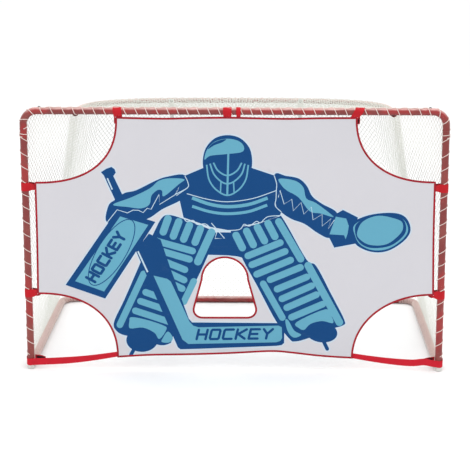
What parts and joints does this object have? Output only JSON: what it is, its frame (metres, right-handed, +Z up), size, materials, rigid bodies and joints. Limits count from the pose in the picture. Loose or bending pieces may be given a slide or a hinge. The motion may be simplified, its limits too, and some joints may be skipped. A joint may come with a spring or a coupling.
{
  "type": "ice hockey goal with target sheet",
  "caption": "Tubular steel ice hockey goal with a bent base, a shallow top shelf, a laced net and a printed target sheet held in the mouth by hook-and-loop straps.",
  "frame": {"origin": "on the ground, under the middle of the bounding box", "axes": "+X to the shooter's right along the crossbar, +Y from the goal mouth to the back of the net, +Z up"},
  "size_m": [1.9152, 1.1455, 1.2105],
  "materials": {
    "red_paint": "red powder coat",
    "white_paint": "white powder coat",
    "bare_steel": "bare drawn tube",
    "black_steel": "black oxide",
    "grey_plastic": "moulded",
    "white_netting": "braided white cord",
    "target_cloth": "printed coated polyester",
    "red_webbing": "woven red webbing",
    "hook_tape": "hook tape lining"
  },
  "bodies": {
    "goal": {"back_stay_left": "white_paint", "back_stay_right": "white_paint", "base_left_rail": "red_paint", "base_left_sleeve": "bare_steel", "base_rear_bar": "red_paint", "base_right_rail": "red_paint", "base_right_sleeve": "bare_steel", "crossbar_left": "red_paint", "crossbar_right": "red_paint", "crossbar_sleeve": "bare_steel", "left_corner_screw": "black_steel", "left_foot": "grey_plastic", "left_foot_strap": "red_webbing", "left_lower_strap": "red_webbing", "left_post": "red_paint", "left_post_screw": "black_steel", "left_rail_screw": "black_steel", "left_shelf_screw": "black_steel", "left_stay_foot_screw": "black_steel", "left_stay_top_screw": "black_steel", "left_top_corner": "red_paint", "left_upper_strap": "red_webbing", "net_back": "white_netting", "net_left": "white_netting", "net_right": "white_netting", "net_top": "white_netting", "right_corner_screw": "black_steel", "right_foot": "grey_plastic", "right_foot_strap": "red_webbing", "right_lower_strap": "red_webbing", "right_post": "red_paint", "right_post_screw": "black_steel", "right_rail_screw": "black_steel", "right_shelf_screw": "black_steel", "right_stay_foot_screw": "black_steel", "right_stay_top_screw": "black_steel", "right_top_corner": "red_paint", "right_upper_strap": "red_webbing", "target_sheet": "target_cloth", "top_centre_strap": "red_webbing", "top_left_strap": "red_webbing", "top_right_strap": "red_webbing", "top_shelf_left": "red_paint", "top_shelf_right": "red_paint", "top_shelf_sleeve": "bare_steel", "top_tie_strap": "red_webbing"},
    "left_foot_flap": {"left_foot_flap": "hook_tape"},
    "left_lower_flap": {"left_lower_flap": "hook_tape"},
    "left_upper_flap": {"left_upper_flap": "hook_tape"},
    "right_foot_flap": {"right_foot_flap": "hook_tape"},
    "right_lower_flap": {"right_lower_flap": "hook_tape"},
    "right_upper_flap": {"right_upper_flap": "hook_tape"},
    "top_centre_flap": {"top_centre_flap": "hook_tape"},
    "top_left_flap": {"top_left_flap": "hook_tape"},
    "top_right_flap": {"top_right_flap": "hook_tape"},
    "top_tie_flap": {"top_tie_flap": "hook_tape"}
  },
  "joints": [
    {"name": "left_upper_peel", "type": "hinge", "parent": "goal", "child": "left_upper_flap", "pos_m": [-0.9163, -0.5363, 0.85], "axis": [0, 0, 1], "range_deg": [0, 100]},
    {"name": "left_lower_peel", "type": "hinge", "parent": "goal", "child": "left_lower_flap", "pos_m": [-0.9163, -0.5363, 0.36], "axis": [0, 0, 1], "range_deg": [0, 100]},
    {"name": "left_foot_peel", "type": "hinge", "parent": "goal", "child": "left_foot_flap", "pos_m": [-0.9148, -0.5357, 0.0475], "axis": [0, 0, 1], "range_deg": [0, 100]},
    {"name": "right_upper_peel", "type": "hinge", "parent": "goal", "child": "right_upper_flap", "pos_m": [0.9163, -0.5363, 0.85], "axis": [0, 0, -1], "range_deg": [0, 100]},
    {"name": "right_lower_peel", "type": "hinge", "parent": "goal", "child": "right_lower_flap", "pos_m": [0.9163, -0.5363, 0.36], "axis": [0, 0, -1], "range_deg": [0, 100]},
    {"name": "right_foot_peel", "type": "hinge", "parent": "goal", "child": "right_foot_flap", "pos_m": [0.9148, -0.5357, 0.0475], "axis": [0, 0, -1], "range_deg": [0, 100]},
    {"name": "top_left_peel", "type": "hinge", "parent": "goal", "child": "top_left_flap", "pos_m": [-0.512, -0.5363, 1.1758], "axis": [1, 0, 0], "range_deg": [0, 100]},
    {"name": "top_centre_peel", "type": "hinge", "parent": "goal", "child": "top_centre_flap", "pos_m": [-0.03, -0.5363, 1.1758], "axis": [1, 0, 0], "range_deg": [0, 100]},
    {"name": "top_right_peel", "type": "hinge", "parent": "goal", "child": "top_right_flap", "pos_m": [0.535, -0.5363, 1.1758], "axis": [1, 0, 0], "range_deg": [0, 100]},
    {"name": "top_tie_peel", "type": "hinge", "parent": "goal", "child": "top_tie_flap", "pos_m": [0.019, -0.5363, 1.1758], "axis": [1, 0, 0], "range_deg": [0, 100]}
  ]
}
